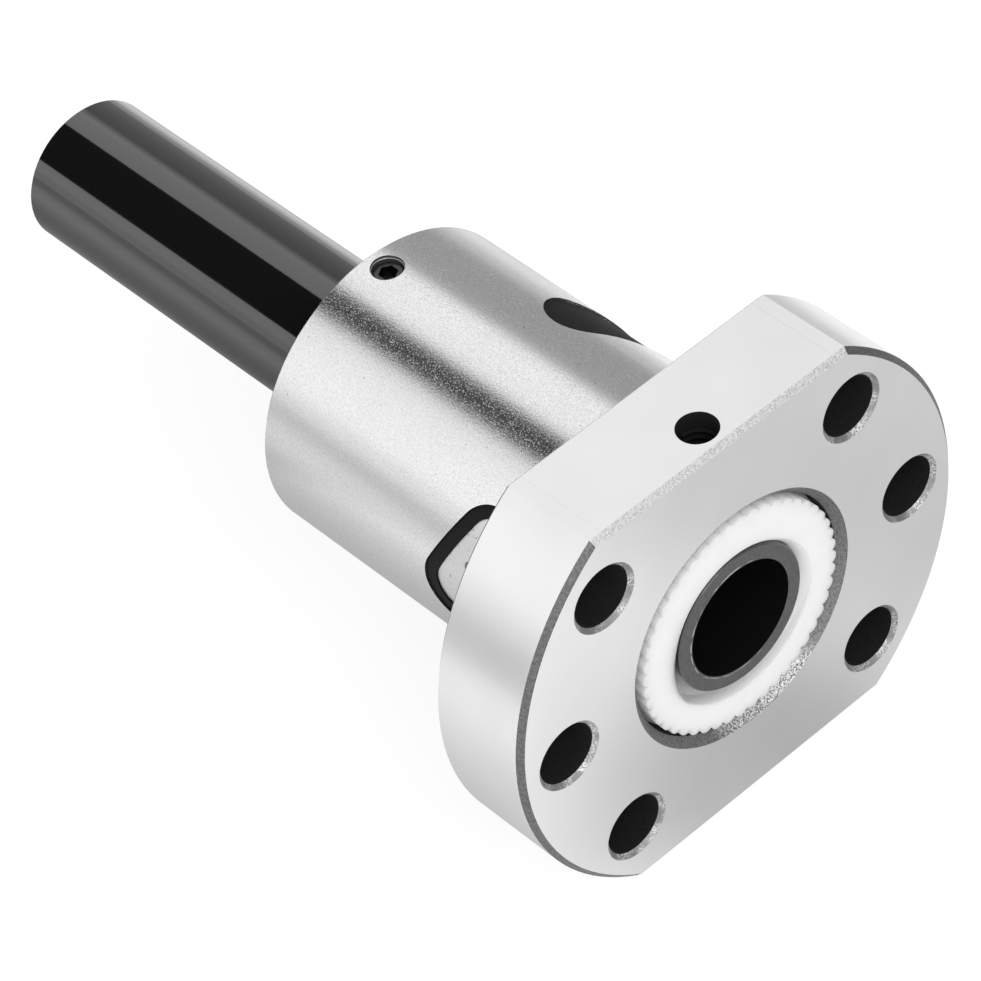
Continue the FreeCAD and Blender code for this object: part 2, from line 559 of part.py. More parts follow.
def insert_parts(number):
    """The insert and the resin round its crown. On the sealed insert the resin covers the crown too."""
    gap = sized("sizes.insert_gap")
    sealed = number + 1 == sized("sizes.sealed_insert")
    crown_drop = "sizes.sealed_crown_drop" if sealed else "sizes.crown_drop"
    crown_dia = sized(f"sizes.body_dia - 2 * {crown_drop}")
    bond_dia = sized("sizes.body_dia - 2 * sizes.bond_drop")
    shoulder = sized(SHOULDER_DIA)
    crown_length, crown_width = sized(CROWN_LENGTH), sized(CROWN_WIDTH)
    pocket = block_along_radius(sized("sizes.pocket_length - 2 * sizes.insert_gap"),
                                sized("sizes.pocket_width - 2 * sizes.insert_gap"))
    crown = block_along_radius(crown_length, crown_width)
    foot = pocket.common(ring_between(sized(LAND_DIA), shoulder))
    top = crown.common(ring_between(shoulder - 2 * gap, crown_dia))
    insert = foot.fuse(top).cut(return_channel())
    if not sealed:
        depth = sized("sizes.dimple_depth")
        mark = Part.makeCylinder(sized("sizes.dimple_dia") / 2, depth + sized("sizes.cut_past"),
                                 V(0, 0, crown_dia / 2 - depth))
        insert = insert.cut(mark)
    hole = block_along_radius(crown_length + 2 * gap, crown_width + 2 * gap)
    if sealed:
        hole = hole.common(ring_between(shoulder - 2 * gap, crown_dia + 2 * gap))
    bond = pocket.common(ring_between(shoulder + 2 * gap, bond_dia)).cut(hole)
    return insert.removeSplitter(), bond.removeSplitter()


def placed_shape(label, shape, number):
    along, angle = insert_place(number)
    made = doc.addObject("Part::Feature", label.title().replace("_", ""))
    made.Label = label
    made.Shape = shape
    turn = FreeCAD.Rotation(V(1, 0, 0), sized(angle) - 90)
    made.Placement = FreeCAD.Placement(V(sized(along), 0, 0), turn)
    return made


for number in range(int(sized("sizes.circuits"))):
    insert, bond = insert_parts(number)
    placed_shape(f"return_insert_{number + 1}", insert, number)
    placed_shape(f"insert_bond_{number + 1}", bond, number)


# Transport tube: holds the balls in while the nut is off its screw

tube = doc.addObject("PartDesign::Body", "TransportTube")
tube.Label = "transport_tube"
tube_section = sketch_on(tube, "TubeSection", "XZ_Plane")
outline(tube_section, [
    ("0", TUBE_BORE_DIA + " / 2"),
    ("0", TUBE_DIA + " / 2 - sizes.tube_chamfer"),
    ("-sizes.tube_chamfer", TUBE_DIA + " / 2"),
    ("sizes.tube_chamfer - sizes.tube_length", TUBE_DIA + " / 2"),
    ("-sizes.tube_length", TUBE_DIA + " / 2 - sizes.tube_chamfer"),
    ("-sizes.tube_length", TUBE_BORE_DIA + " / 2"),
])
feature(tube, "Revolution", "TubeWall", tube_section, ReferenceAxis=(tube_section, ["H_Axis"]), Angle=360)
tube_front = "sizes.flange_thickness - sizes.tube_inset"
tube.setExpression("Placement", f"placement(vector({tube_front}; 0; 0); rotationz(0))")
doc.recompute()


# Every object is sound, and every cut took something away

LEAST_CUT = 1e-3
CUTS = ("Pocket", "Groove", "SubtractiveHelix", "Hole", "PolarPattern")
for item in doc.Objects:
    if "Invalid" in item.State or "Error" in item.State:
        raise RuntimeError(f"{item.Name} failed: {item.State}")
    if item.TypeId.startswith("PartDesign::") and item.TypeId.split("::")[1] in CUTS:
        before = item.BaseFeature.Shape.Volume
        if item.Shape.Volume > before - LEAST_CUT:
            raise RuntimeError(f"{item.Name} cut nothing")

os.makedirs("parts", exist_ok=True)
for item in doc.Objects:
    if item.TypeId not in ("PartDesign::Body", "Part::Feature"):
        continue
    shape = item.Shape
    if shape.isNull() or not shape.isValid() or len(shape.Solids) != 1:
        raise RuntimeError(f"{item.Label} is not one valid solid")
    shape.exportStep(f"parts/{item.Label}.step")
    print(item.Label, "volume", round(shape.Volume, 2), "faces", len(shape.Faces))
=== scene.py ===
import math

import bmesh
import bpy
from mathutils import Matrix, Vector


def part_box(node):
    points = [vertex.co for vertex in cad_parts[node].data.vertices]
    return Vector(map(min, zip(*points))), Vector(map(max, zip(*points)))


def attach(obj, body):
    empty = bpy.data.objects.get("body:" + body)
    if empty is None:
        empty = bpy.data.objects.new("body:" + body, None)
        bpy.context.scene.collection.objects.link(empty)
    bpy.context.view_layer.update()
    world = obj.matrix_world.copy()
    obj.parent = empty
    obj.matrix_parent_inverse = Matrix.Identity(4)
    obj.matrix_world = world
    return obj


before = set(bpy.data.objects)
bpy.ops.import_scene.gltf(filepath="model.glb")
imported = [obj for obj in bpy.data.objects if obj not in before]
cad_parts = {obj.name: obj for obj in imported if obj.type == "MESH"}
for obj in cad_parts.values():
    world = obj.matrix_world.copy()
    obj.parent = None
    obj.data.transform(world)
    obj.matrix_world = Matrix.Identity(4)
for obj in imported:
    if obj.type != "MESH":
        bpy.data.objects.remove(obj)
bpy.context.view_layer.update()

MM = 0.001

# Places read from the frame
nut_low, nut_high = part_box("nut_body")
SPIGOT_END = nut_low.x
FLAT_HEIGHT = nut_high.z
_, tube_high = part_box("transport_tube")
TUBE_FRONT = tube_high.x
front_screw_low, front_screw_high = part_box("front_wiper_screw")
rear_screw_low, rear_screw_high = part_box("rear_wiper_screw")

# Radii from the screw axis
SPIGOT_RADIUS = 14.0 * MM
SPIGOT_SKIN = 13.6 * MM
RIM_INSIDE = 23.3 * MM
FLAT_CHAMFER_INSIDE = 18.5 * MM
MOUTH_RADIUS = 11.9 * MM
RECESS_RADIUS = 11.05 * MM
TUBE_BORE_RADIUS = 5.3525 * MM
BOLT_CIRCLE_RADIUS = 19.0 * MM

# Radii from a hole's own axis
BOLT_HOLE_RADIUS = 2.75 * MM
BOLT_RIM_RADIUS = 3.15 * MM
FRONT_TAPPING_RADIUS = 1.75 * MM
REAR_TAPPING_RADIUS = 1.45 * MM

# Added to a radius, these take in the surface that lies on it
WALL_MARGIN = 0.03 * MM
EDGE_MARGIN = 0.02 * MM

# Where each return insert sits round the screw axis: +Y is 0 degrees and +Z is 90
INSERT_ANGLES = {1: 162.0, 2: 42.0, 3: -78.0}


# Colours and nodes

def linear(code):
    """An sRGB hex colour as linear red, green, blue and alpha."""
    channels = [int(code[place:place + 2], 16) / 255 for place in (1, 3, 5)]
    return [c / 12.92 if c <= 0.04045 else ((c + 0.055) / 1.055) ** 2.4 for c in channels] + [1.0]


def add(tree, kind, *values, inputs=None, **settings):
    """One node with its settings and links. Values go to its live inputs in order, and inputs go by name. An
    output is linked, a node stands for its first live output, and a number or a hex colour is set."""
    node = tree.nodes.new("ShaderNode" + kind)
    for name, setting in settings.items():
        setattr(node, name, setting)
    live = [socket for socket in node.inputs if socket.enabled]
    pairs = list(zip(live, values))
    pairs += [(node.inputs[name], value) for name, value in (inputs or {}).items()]
    for socket, value in pairs:
        if isinstance(value, bpy.types.Node):
            value = next(output for output in value.outputs if output.enabled)
        if isinstance(value, bpy.types.NodeSocket):
            tree.links.new(value, socket)
        else:
            socket.default_value = linear(value) if isinstance(value, str) else value
    return node


def new_material(name):
    """An empty material with its tree, and the place on the object in millimetres."""
    material = bpy.data.materials.new(name)
    material.use_nodes = True
    tree = material.node_tree
    tree.nodes.clear()
    place = add(tree, "TexCoord").outputs["Object"]
    return material, tree, add(tree, "VectorMath", place, 1 / MM, operation="SCALE")


def all_of(tree, *shares):
    """Where every share is 1."""
    answer = shares[0]
    for share in shares[1:]:
        answer = add(tree, "Math", answer, share, operation="MULTIPLY")
    return answer


def any_of(tree, *shares):
    """Where at least one share is 1."""
    answer = shares[0]
    for share in shares[1:]:
        answer = add(tree, "Math", answer, share, operation="MAXIMUM")
    return answer


def distance(tree, first, first_centre, second, second_centre):
    """Distance from a line that runs along the third axis, all in millimetres."""
    one = add(tree, "Math", first, first_centre, operation="SUBTRACT")
    two = add(tree, "Math", second, second_centre, operation="SUBTRACT")
    squares = add(tree, "Math", add(tree, "Math", one, one, operation="MULTIPLY"),
                  add(tree, "Math", two, two, operation="MULTIPLY"), operation="ADD")
    return add(tree, "Math", squares, operation="SQRT")


def facing(tree):
    """The surface's direction in the object's own frame: x, y and z."""
    return add(tree, "SeparateXYZ", add(tree, "TexCoord").outputs["Normal"]).outputs


# Where each finish of the nut lies, as shares from 0 to 1

# How much a surface faces along the screw axis: a side under the first, an end face over the second
SIDE_LIMIT = 0.3
FACE_LIMIT = 0.9
# How much a chamfer faces sideways when it is on the rim and not on a flat
RIM_SIDEWAYS = 0.1


def hole_zones(tree, x, y, z):
    """The bolt holes, their rims and the two tapped holes. The bolt holes lie alike in all four quarters."""
    fold_y = add(tree, "Math", y, operation="ABSOLUTE")
    fold_z = add(tree, "Math", z, operation="ABSOLUTE")
    aside = BOLT_CIRCLE_RADIUS / MM
    corner = aside * math.cos(math.radians(45))
    reach = add(tree, "Math", distance(tree, fold_y, aside, fold_z, 0.0),
                distance(tree, fold_y, corner, fold_z, corner), operation="MINIMUM")
    in_flange = add(tree, "Math", x, 0.01, operation="GREATER_THAN")
    in_hole = add(tree, "Math", reach, (BOLT_HOLE_RADIUS + WALL_MARGIN) / MM, operation="LESS_THAN")
    in_rim = add(tree, "Math", reach, (BOLT_RIM_RADIUS + EDGE_MARGIN) / MM, operation="LESS_THAN")
    zones = {"bolt_hole": all_of(tree, in_flange, in_hole), "bolt_rim": all_of(tree, in_flange, in_rim)}
    tappings = {"front_tapping": (front_screw_low, front_screw_high, FRONT_TAPPING_RADIUS),
                "rear_tapping": (rear_screw_low, rear_screw_high, REAR_TAPPING_RADIUS)}
    upper = add(tree, "Math", z, 0.0, operation="GREATER_THAN")
    for name, (low, high, radius) in tappings.items():
        across = distance(tree, x, (low.x + high.x) / 2 / MM, y, 0.0)
        inside = add(tree, "Math", across, (radius + EDGE_MARGIN) / MM, operation="LESS_THAN")
        zones[name] = all_of(tree, upper, inside)
    return zones


def nut_zones(tree, x, y, z):
    """The spigot's skin, the rim, the chamfers, the recesses' mouths, the bore and the holes."""
    radius = distance(tree, y, 0.0, z, 0.0)
    toward_x, toward_y, _ = facing(tree)
    along = add(tree, "Math", toward_x, operation="ABSOLUTE")
    sideways = add(tree, "Math", toward_y, operation="ABSOLUTE")
    on_rim = add(tree, "Math", sideways, RIM_SIDEWAYS, operation="GREATER_THAN")
    on_side = add(tree, "Math", along, SIDE_LIMIT, operation="LESS_THAN")
    off_side = add(tree, "Math", along, SIDE_LIMIT, operation="GREATER_THAN")
    off_face = add(tree, "Math", along, FACE_LIMIT, operation="LESS_THAN")
    on_slope = all_of(tree, off_side, off_face)
    skin = add(tree, "Math", radius, SPIGOT_SKIN / MM, operation="GREATER_THAN")
    outermost = add(tree, "Math", radius, RIM_INSIDE / MM, operation="GREATER_THAN")
    outside = add(tree, "Math", radius, FLAT_CHAMFER_INSIDE / MM, operation="GREATER_THAN")
    in_mouth = add(tree, "Math", radius, MOUTH_RADIUS / MM, operation="LESS_THAN")
    in_recess = add(tree, "Math", radius, (RECESS_RADIUS + WALL_MARGIN) / MM, operation="LESS_THAN")
    zones = hole_zones(tree, x, y, z)
    zones["spigot"] = all_of(tree, add(tree, "Math", x, 0.0, operation="LESS_THAN"), skin)
    zones["rim"] = all_of(tree, on_side, outermost)
    zones["rim_chamfer"] = all_of(tree, on_slope, outermost, on_rim)
    on_flat = add(tree, "Math", 1.0, on_rim, operation="SUBTRACT")
    zones["flat_chamfer"] = all_of(tree, on_slope, outside, on_flat)
    zones["mouth"] = all_of(tree, on_slope, in_mouth)
    zones["bore"] = all_of(tree, off_face, in_recess)
    return zones


# Materials. Sizes of grain, lines and pores are in millimetres.

def ground_bearing_steel():
    """High-carbon bearing steel, hardened and ground. The spigot is ground to a fine orange-peel grain that
    breaks up the edges of what it mirrors, the rim has faint lines round it, and the flats and the front face
    are smooth. What was only turned or drilled keeps the grey or black scale of the hardening furnace."""
    material, tree, place = new_material("ground_bearing_steel")
    x, y, z = add(tree, "SeparateXYZ", place).outputs
    zones = nut_zones(tree, x, y, z)
    spigot, mouth = zones["spigot"], zones["mouth"]

    # Grain of the grinding: 0.12 along the axis and 0.17 round it. Lines round the rim: 0.12 apart. The real
    # ones are finer, and these are drawn as coarse as they need to show.
    crosswise = add(tree, "VectorMath", place, (1.4, 1.0, 1.0), operation="MULTIPLY")
    grit = add(tree, "TexNoise", crosswise, 1 / 0.17, 2.0, 0.6)
    lengthwise = add(tree, "VectorMath", place, (16.0, 1.0, 1.0), operation="MULTIPLY")
    lines = add(tree, "TexNoise", lengthwise, 1 / 2.0, 2.0, 0.5)
    cloud = add(tree, "TexNoise", place, 1 / 6.0, 1.0, 0.5)
    speckle = add(tree, "TexNoise", place, 1 / 0.2, 3.0, 0.65)
    speckle = add(tree, "MapRange", speckle, 0.36, 0.66, interpolation_type="SMOOTHSTEP")
    fine = add(tree, "TexNoise", place, 1 / 0.14, 2.0, 0.6)
    fine = add(tree, "MapRange", fine, 0.4, 0.62, interpolation_type="SMOOTHSTEP")
    patches = add(tree, "TexNoise", place, 1 / 1.6, 2.0, 0.5)
    patches = add(tree, "MapRange", patches, 0.35, 0.6, interpolation_type="SMOOTHSTEP")

    # Ground skin: darker where the grain is deep, with a few pits, and speckled on the flats' chamfers
    tones = add(tree, "MapRange", grit, 0.35, 0.65, interpolation_type="SMOOTHSTEP")
    pits = add(tree, "TexNoise", place, 1 / 0.4, 1.0, 0.5)
    pits = add(tree, "MapRange", pits, 0.78, 0.8, interpolation_type="SMOOTHSTEP")
    ground = add(tree, "Mix", cloud, "#d4d4d4", "#dcdcdc", data_type="RGBA")
    ground = add(tree, "Mix", all_of(tree, spigot, tones), ground, "#cecece", data_type="RGBA")
    ground = add(tree, "Mix", all_of(tree, spigot, pits), ground, "#a4a4a4", data_type="RGBA")
    speckled = add(tree, "Mix", fine, "#dcdcdc", "#bababa", data_type="RGBA")
    ground = add(tree, "Mix", zones["flat_chamfer"], ground, speckled, data_type="RGBA")

    # Furnace scale, and a lighter grey speckle at the lower end of the front recess's mouth
    scale = add(tree, "Mix", speckle, "#626262", "#7c7c7c", data_type="RGBA")
    scale = add(tree, "Mix", all_of(tree, mouth, fine), scale, "#8c8c8c", data_type="RGBA")
    # Lighter grey speckle placed by height and side alone: the mouth's lower end, towards +Y
    low = add(tree, "MapRange", z, -8.6, -10.2, interpolation_type="SMOOTHSTEP")
    right = add(tree, "MapRange", y, -4.5, -2.5, interpolation_type="SMOOTHSTEP")
    scale = add(tree, "Mix", all_of(tree, mouth, fine, low, right), scale, "#dcdcdc", data_type="RGBA")
    chipped = add(tree, "Mix", all_of(tree, fine, patches), "#8e8e8e", "#dcdcdc", data_type="RGBA")
    dark_bore = add(tree, "Mix", speckle, "#101010", "#262626", data_type="RGBA")
    drilled = add(tree, "Mix", all_of(tree, speckle, fine), "#090909", "#1b1b1b", data_type="RGBA")

    black = any_of(tree, zones["bolt_hole"], zones["front_tapping"])
    dull = any_of(tree, black, zones["bore"])
    scaled = any_of(tree, zones["rim_chamfer"], zones["flat_chamfer"], mouth, zones["bolt_rim"], dull,
                    zones["rear_tapping"])
    colour = add(tree, "Mix", any_of(tree, zones["rim_chamfer"], mouth), ground, scale, data_type="RGBA")
    colour = add(tree, "Mix", zones["bore"], colour, dark_bore, data_type="RGBA")
    colour = add(tree, "Mix", zones["bolt_rim"], colour, chipped, data_type="RGBA")
    colour = add(tree, "Mix", black, colour, drilled, data_type="RGBA")
    colour = add(tree, "Mix", zones["rear_tapping"], colour, "#7c7c7c", data_type="RGBA")
    metallic = add(tree, "Mix", dull, 1.0, 0.15)

    # The ground spigot mirrors most clearly, and the scale hardly at all
    clear = add(tree, "MapRange", grit, 0.3, 0.7, 0.17, 0.22, interpolation_type="SMOOTHSTEP")
    roughness = add(tree, "Mix", spigot, 0.26, clear)
    roughness = add(tree, "Mix", scaled, roughness, 0.55)
    roughness = add(tree, "Mix", dull, roughness, 0.85)

    # The grain's steepest nicks, 0.13 across, mirror another part of the room and sparkle
    nicks = add(tree, "TexNoise", place, 1 / 0.13, 0.0, 0.5)
    nicks = add(tree, "MapRange", nicks, 0.65, 0.72, interpolation_type="SMOOTHSTEP")
    nicks = add(tree, "Math", nicks, 0.9, operation="MULTIPLY")
    nicked = add(tree, "Math", grit, nicks, operation="ADD")
    smooth = add(tree, "Mix", zones["rim"], 0.5, add(tree, "Math", lines, 0.2, operation="MULTIPLY"))
    height = add(tree, "Mix", spigot, smooth, nicked)
    height = add(tree, "Mix", scaled, height, add(tree, "Math", fine, 0.6, operation="MULTIPLY"))
    relief = add(tree, "Bump", inputs={"Distance": 0.008 * MM, "Height": height})
    shader = add(tree, "BsdfPrincipled", inputs={
        "Base Color": colour, "Metallic": metallic, "Roughness": roughness, "Normal": relief})
    add(tree, "OutputMaterial", shader)
    return material


def cut_thread_steel():
    """The same steel where the tap cut it last: clean, fairly bright thread crests."""
    material, tree, place = new_material("cut_thread_steel")
    marks = add(tree, "TexNoise", place, 1 / 0.25, 2.0, 0.5)
    colour = add(tree, "Mix", marks, "#8e8e8e", "#b4b4b4", data_type="RGBA")
    shader = add(tree, "BsdfPrincipled", inputs={"Base Color": colour, "Metallic": 1.0, "Roughness": 0.4})
    add(tree, "OutputMaterial", shader)
    return material


def moulded_nylon():
    """Natural nylon, injection moulded: a milky white with a satin skin that light enters a little."""
    material, tree, place = new_material("moulded_nylon")
    cloud = add(tree, "TexNoise", place, 1 / 3.0, 2.0, 0.5)
    cloud = add(tree, "MapRange", cloud, 0.3, 0.7, interpolation_type="SMOOTHSTEP")
    colour = add(tree, "Mix", cloud, "#fbfbfa", "#f6f6f4", data_type="RGBA")
    skin = add(tree, "TexNoise", place, 1 / 0.4, 2.0, 0.5)
    relief = add(tree, "Bump", inputs={"Distance": 0.005 * MM, "Height": skin})
    depth = 1.4 * MM
    shader = add(tree, "BsdfPrincipled", inputs={
        "Base Color": colour, "Roughness": 0.45, "IOR": 1.53, "Subsurface Weight": 1.0,
        "Subsurface Radius": (depth, depth, depth), "Subsurface Scale": 1.0, "Normal": relief})
    add(tree, "OutputMaterial", shader)
    return material


def extruded_black_plastic():
    """Black polyethylene tube, drawn from its die with a glossy skin, which is drawn here as a coat over the
    plastic, and sawn to length: a dark mirror side with faint draw lines along it, and dull grey ends."""
    material, tree, place = new_material("extruded_black_plastic")
    end = add(tree, "Math", facing(tree)[0], operation="ABSOLUTE")
    sawn = add(tree, "MapRange", end, 0.5, 0.9, interpolation_type="SMOOTHSTEP")
    drawn = add(tree, "VectorMath", place, (0.03, 1.0, 1.0), operation="MULTIPLY")
    lines = add(tree, "TexNoise", drawn, 1 / 0.6, 2.0, 0.5)
    cut = add(tree, "VectorMath", place, (1.0, 3.0, 1.0), operation="MULTIPLY")
    saw_marks = add(tree, "TexNoise", cut, 1 / 0.5, 3.0, 0.5)
    saw_marks = add(tree, "MapRange", saw_marks, 0.3, 0.7, interpolation_type="SMOOTHSTEP")
    end_grey = add(tree, "Mix", saw_marks, "#464646", "#545454", data_type="RGBA")
    colour = add(tree, "Mix", sawn, "#141414", end_grey, data_type="RGBA")
    skin = add(tree, "MapRange", lines, 0.3, 0.7, 0.09, 0.13, interpolation_type="SMOOTHSTEP")
    relief = add(tree, "Bump", inputs={"Distance": 0.001 * MM, "Height": lines})
    roughness = add(tree, "Mix", sawn, skin, 0.6)
    coat = add(tree, "Math", 1.0, sawn, operation="SUBTRACT")
    shader = add(tree, "BsdfPrincipled", inputs={
        "Base Color": colour, "Roughness": roughness, "Coat Weight": coat, "Coat Roughness": 0.07, "IOR": 1.5,
        "Normal": relief})
    add(tree, "OutputMaterial", shader)
    return material


def torn_black_plastic():
    """The same plastic where the saw tore it: stretched thin, it turns pale grey."""
    material, tree, place = new_material("torn_black_plastic")
    stretch = add(tree, "TexNoise", place, 1 / 0.8, 2.0, 0.5)
    stretch = add(tree, "MapRange", stretch, 0.4, 0.6, interpolation_type="SMOOTHSTEP")
    colour = add(tree, "Mix", stretch, "#5c5c5c", "#b8b8b8", data_type="RGBA")
    shader = add(tree, "BsdfPrincipled", inputs={"Base Color": colour, "Roughness": 0.5, "IOR": 1.5})
    add(tree, "OutputMaterial", shader)
    return material


def sintered_steel():
    """Sintered steel of the return inserts, tumbled: pale grey and matt, with small pores and a few dents."""
    material, tree, place = new_material("sintered_steel")
    pores = add(tree, "TexNoise", place, 1 / 0.3, 3.0, 0.6)
    pores = add(tree, "MapRange", pores, 0.62, 0.72, interpolation_type="SMOOTHSTEP")
    colour = add(tree, "Mix", pores, "#d0d0d0", "#6a6a6a", data_type="RGBA")
    dents = add(tree, "TexNoise", place, 1 / 0.5, 3.0, 0.5)
    relief = add(tree, "Bump", inputs={"Distance": 0.02 * MM, "Height": dents})
    shader = add(tree, "BsdfPrincipled", inputs={
        "Base Color": colour, "Metallic": 1.0, "Roughness": 0.45, "Normal": relief})
    add(tree, "OutputMaterial", shader)
    return material


def sealing_resin():
    """Black epoxy resin with a filler, poured round the inserts and cured matt, so it hardly mirrors."""
    material, tree, place = new_material("sealing_resin")
    filler = add(tree, "TexNoise", place, 1 / 0.6, 2.0, 0.5)
    colour = add(tree, "Mix", filler, "#0b0b0b", "#1b1b1b", data_type="RGBA")
    swell = add(tree, "TexNoise", place, 1 / 0.8, 2.0, 0.5)
    relief = add(tree, "Bump", inputs={"Distance": 0.03 * MM, "Height": swell})
    shader = add(tree, "BsdfPrincipled", inputs={
        "Base Color": colour, "Roughness": 0.7, "IOR": 1.55, "Specular IOR Level": 0.15, "Normal": relief})
    add(tree, "OutputMaterial", shader)
    return material


def blackened_steel():
    """Alloy steel grub screw with a black oxide bath finish: dark grey, lighter grey where it slopes upward,
    as on its bevel.
    """
    material, tree, place = new_material("blackened_steel")
    bloom = add(tree, "TexNoise", place, 1 / 0.3, 2.0, 0.5)
    black = add(tree, "Mix", bloom, "#363637", "#5c5c5e", data_type="RGBA")
    up = facing(tree)[2]
    # Lighter grey on faces that slope upward, chosen by their direction alone
    slopes_up = all_of(tree, add(tree, "Math", up, 0.25, operation="GREATER_THAN"),
                  add(tree, "Math", up, 0.95, operation="LESS_THAN"))
    colour = add(tree, "Mix", slopes_up, black, "#9a9a9a", data_type="RGBA")
    skin = add(tree, "TexNoise", place, 1 / 0.2, 2.0, 0.5)
    relief = add(tree, "Bump", inputs={"Distance": 0.005 * MM, "Height": skin})
    shader = add(tree, "BsdfPrincipled", inputs={
        "Base Color": colour, "Metallic": 1.0, "Roughness": 0.32, "Normal": relief})
    add(tree, "OutputMaterial", shader)
    return material


def polished_ball_steel():
    """Bearing balls: lapped bearing steel, mirror bright."""
    material, tree, place = new_material("polished_ball_steel")
    cloud = add(tree, "TexNoise", place, 1 / 0.8, 1.0, 0.5)
    colour = add(tree, "Mix", cloud, "#dedede", "#e6e6e6", data_type="RGBA")
    shader = add(tree, "BsdfPrincipled", inputs={"Base Color": colour, "Metallic": 1.0, "Roughness": 0.12})
    add(tree, "OutputMaterial", shader)
    return material


def finish_nodes():
    """Gives each CAD node its finish."""
    nylon, resin, sintered, oxide = moulded_nylon(), sealing_resin(), sintered_steel(), blackened_steel()
    finishes = {"nut_body": ground_bearing_steel(), "transport_tube": extruded_black_plastic(),
                "front_wiper": nylon, "rear_wiper": nylon,
                "front_wiper_screw": oxide, "rear_wiper_screw": oxide}
    for number in INSERT_ANGLES:
        finishes[f"return_insert_{number}"] = sintered
        finishes[f"insert_bond_{number}"] = resin
    for node, material in finishes.items():
        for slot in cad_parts[node].material_slots:
            slot.material = material
    return finishes


# Added pieces

def new_piece(name, mesh, body, material):
    """Makes a finished mesh a piece that rides on a body."""
    data = bpy.data.meshes.new(name)
    mesh.to_mesh(data)
    mesh.free()
    for face in data.polygons:
        face.use_smooth = True
    piece = bpy.data.objects.new(name, data)
    bpy.context.scene.collection.objects.link(piece)
    data.materials.append(material)
    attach(piece, body)


def skin_sections(mesh, sections):
    """Faces from each four-cornered section to the next, and one to close each end."""
    for here, following in zip(sections, sections[1:]):
        for corner in range(4):
            after = (corner + 1) % 4
            mesh.faces.new((here[corner], here[after], following[after], following[corner]))
    mesh.faces.new(sections[0])
    mesh.faces.new(reversed(sections[-1]))
    bmesh.ops.recalc_face_normals(mesh, faces=mesh.faces)


# Bearing balls, three circuits of sixteen, on the path of the ball groove and the return inserts

LEAD = 5.0 * MM
BALL_RADIUS = 3.175 / 2 * MM
BALL_CIRCLE_RADIUS = 8.4 * MM
BALL_LIFT = 1.35 * MM
CROSSING_HALF_ANGLE = 32.0
BALLS_IN_CIRCUIT = 16
GROOVE_STEPS = 400
CROSSING_STEPS = 100
BALL_SEGMENTS = 32
BALL_RINGS = 16


def ball_path(insert_place, insert_angle):
    """Points along one closed circuit: round in the groove, then back across through the return insert."""
    points = []
    half = CROSSING_HALF_ANGLE
    for step in range(GROOVE_STEPS):
        turn = half + (360 - 2 * half) * step / GROOVE_STEPS
        along = insert_place - LEAD / 2 + LEAD * turn / 360
        points.append((along, turn, BALL_CIRCLE_RADIUS))
    for step in range(CROSSING_STEPS + 1):
        share = -1 + 2 * step / CROSSING_STEPS
        along = insert_place + LEAD * share * half / 360 - LEAD / 2 * math.sin(math.pi / 2 * share)
        lift = BALL_LIFT * math.cos(math.pi / 2 * share) ** 2
        points.append((along, share * half, BALL_CIRCLE_RADIUS + lift))
    placed = []
    for along, turn, radius in points:
        angle = math.radians(insert_angle + turn)
        placed.append(Vector((along, radius * math.cos(angle), radius * math.sin(angle))))
    return placed


def evenly_along(path, count):
    """That many points at equal steps along a closed path."""
    lengths = [0.0]
    for here, following in zip(path, path[1:] + path[:1]):
        lengths.append(lengths[-1] + (following - here).length)
    places = []
    index = 0
    for number in range(count):
        target = lengths[-1] * number / count
        while lengths[index + 1] < target:
            index += 1
        share = (target - lengths[index]) / (lengths[index + 1] - lengths[index])
        places.append(path[index].lerp(path[(index + 1) % len(path)], share))
    return places


def bearing_balls():
    """One piece for each circuit, its balls set at equal steps."""
    steel = polished_ball_steel()
    for number, angle in INSERT_ANGLES.items():
        low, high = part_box(f"return_insert_{number}")
        mesh = bmesh.new()
        for centre in evenly_along(ball_path((low.x + high.x) / 2, angle), BALLS_IN_CIRCUIT):
            bmesh.ops.create_uvsphere(mesh, u_segments=BALL_SEGMENTS, v_segments=BALL_RINGS,
                                      radius=BALL_RADIUS, matrix=Matrix.Translation(centre))
        new_piece(f"ball_circuit_{number}", mesh, "nut", steel)


# Threads in the two tapped holes, above their grub screws

FRONT_PITCH = 0.7 * MM
REAR_PITCH = 0.3 * MM
FRONT_COUNTERSINK = 1.5 * MM
THREAD_STEPS = 40

# Shares of the pitch
THREAD_DEPTH = 0.3
THREAD_FOOT = 0.38
THREAD_CREST = 0.08


def tapped_thread(name, screw_low, screw_high, pitch, wall_radius, top, material):
    """A helical ridge on a tapped hole's wall, from the grub screw up to the top."""
    mesh = bmesh.new()
    middle = (screw_low.x + screw_high.x) / 2
    crest_radius = wall_radius - THREAD_DEPTH * pitch
    outline = [(wall_radius, -THREAD_FOOT * pitch), (crest_radius, -THREAD_CREST * pitch),
               (crest_radius, THREAD_CREST * pitch), (wall_radius, THREAD_FOOT * pitch)]
    turns = (top - screw_high.z) / pitch - 1
    sections = []
    for step in range(int(THREAD_STEPS * turns) + 1):
        angle = 2 * math.pi * step / THREAD_STEPS
        cosine, sine = math.cos(angle), math.sin(angle)
        height = screw_high.z + pitch / 2 + pitch * step / THREAD_STEPS
        sections.append([mesh.verts.new((middle + radius * cosine, radius * sine, height + up))
                         for radius, up in outline])
    skin_sections(mesh, sections)
    new_piece(name, mesh, "nut", material)


# The lip that the saw left round the bore at the tube's front end

BURR_FIRST_ANGLE = 70.0
BURR_LAST_ANGLE = 290.0
BURR_STEPS = 220
BURR_WIDTH = 0.07 * MM
BURR_HEIGHT = 0.09 * MM
BURR_LEAST_HEIGHT = 0.01 * MM
BURR_ROOT = -0.02 * MM
BURR_FROM_BORE = 0.13 * MM
BURR_WANDER = 0.015 * MM


